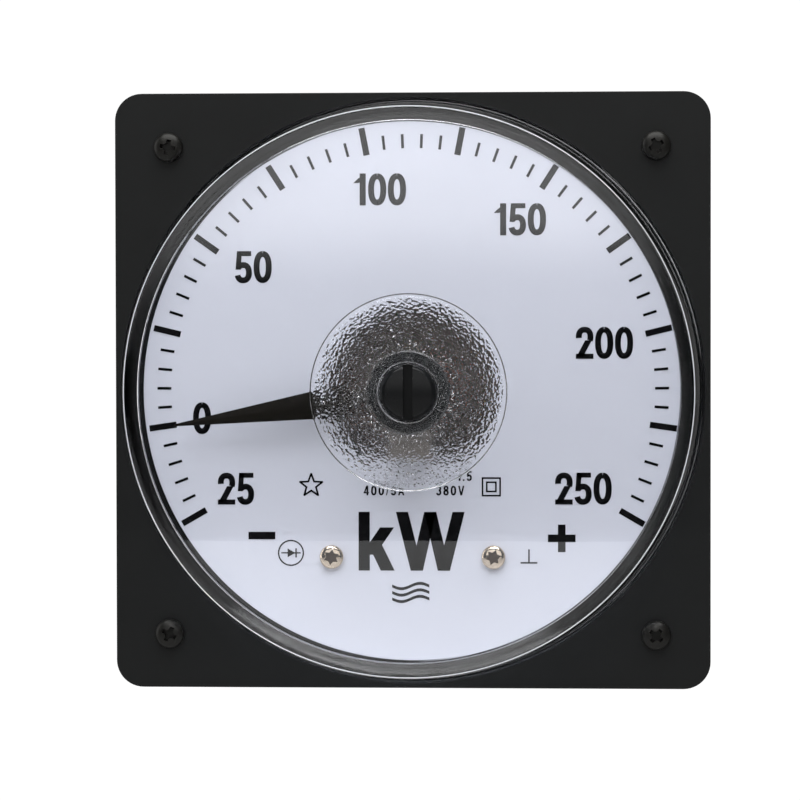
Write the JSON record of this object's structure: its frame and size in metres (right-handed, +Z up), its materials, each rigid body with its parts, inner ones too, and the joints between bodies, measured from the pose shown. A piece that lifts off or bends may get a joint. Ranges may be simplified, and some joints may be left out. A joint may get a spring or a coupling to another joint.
{
  "type": "wide-angle panel kilowatt meter",
  "caption": "Square flange-mounted panel meter with a clear round cover, a 240 degree kilowatt dial, a black spear pointer, a slotted zero adjuster and a deep round case with rear terminals",
  "frame": {"origin": "on the dial's axis, in the plane of the flange's rear face that seats on the panel", "axes": "+Y runs from the dial back through the panel, +Z is up on the dial, +X is to the right as the dial is read"},
  "size_m": [0.11, 0.0981, 0.11],
  "materials": {
    "black_abs": "matte",
    "clear_polycarbonate": "gloss",
    "gasket_rubber": "matte",
    "blackened_steel": "satin",
    "zinc_steel": "satin",
    "adjuster_black": "satin",
    "brass": "satin",
    "dial_enamel": "matte",
    "nickel_brass": "polished",
    "soft_iron": "satin",
    "magnet_alloy": "matte",
    "polished_steel": "polished",
    "coil_winding": "satin",
    "bare_aluminium": "satin",
    "pointer_black": "satin",
    "spring_bronze": "polished",
    "board_laminate": "satin",
    "blue_plastic": "gloss",
    "resistor_ceramic": "matte",
    "red_insulation": "satin",
    "black_insulation": "satin",
    "copper": "satin"
  },
  "bodies": {
    "root": {"rear_case": "black_abs", "front_frame": "black_abs", "clear_cover": "clear_polycarbonate", "cover_gasket": "gasket_rubber", "frame_screw_1": "blackened_steel", "frame_screw_2": "blackened_steel", "frame_screw_3": "blackened_steel", "frame_screw_4": "blackened_steel", "mounting_stud_1": "zinc_steel", "mounting_stud_2": "zinc_steel", "mounting_stud_3": "zinc_steel", "mounting_stud_4": "zinc_steel", "stud_nut_1": "zinc_steel", "stud_nut_2": "zinc_steel", "stud_nut_3": "zinc_steel", "stud_nut_4": "zinc_steel", "dial_plate": "dial_enamel", "dial_screw_1": "nickel_brass", "dial_screw_2": "nickel_brass", "chassis_plate": "zinc_steel", "chassis_screw_1": "zinc_steel", "chassis_screw_2": "zinc_steel", "pole_yoke": "soft_iron", "pole_core": "soft_iron", "magnet": "magnet_alloy", "yoke_screw_1": "zinc_steel", "yoke_screw_2": "zinc_steel", "front_bridge": "bare_aluminium", "rear_bridge": "bare_aluminium", "bridge_screw_1": "brass", "bridge_screw_2": "brass", "front_jewel_screw": "brass", "rear_jewel_screw": "brass", "rear_hairspring": "spring_bronze", "circuit_board": "board_laminate", "bridge_rectifier": "black_abs", "calibration_trimmer": "blue_plastic", "series_resistor": "resistor_ceramic", "terminal_stud_1": "brass", "terminal_stud_2": "brass", "terminal_washer_1": "brass", "terminal_washer_2": "brass", "terminal_nut_1": "brass", "terminal_nut_2": "brass", "terminal_nut_3": "brass", "terminal_nut_4": "brass", "lead_positive": "red_insulation", "lead_negative": "black_insulation"},
    "zero_adjuster": {"zero_adjuster_screw": "adjuster_black", "adjuster_driver": "adjuster_black"},
    "zero_lever": {"zero_lever": "brass", "front_hairspring": "spring_bronze"},
    "moving_element": {"shaft": "polished_steel", "moving_coil": "coil_winding", "coil_arm_front": "bare_aluminium", "coil_arm_rear": "bare_aluminium", "pointer": "pointer_black", "pointer_hub": "brass", "counterweight": "copper"}
  },
  "joints": [
    {"name": "zero_adjust", "type": "hinge", "parent": "root", "child": "zero_adjuster", "pos_m": [0, -0.0205, 0], "axis": [0, 1, 0], "range_deg": [-10, 10]},
    {"name": "zero_lever_turn", "type": "hinge", "parent": "root", "child": "zero_lever", "pos_m": [0, -0.0146, 0], "axis": [0, 1, 0], "range_deg": [-10, 10]},
    {"name": "pointer_swing", "type": "hinge", "parent": "zero_lever", "child": "moving_element", "pos_m": [0, -0.0093, 0], "axis": [0, 1, 0], "range_deg": [-25, 221], "stiffness_Nm_per_rad": 0.00004, "deforming": ["front_hairspring", "rear_hairspring"]}
  ],
  "couplings": [
    {"joint": "zero_adjust", "follows": "zero_lever_turn", "ratio": 1}
  ]
}
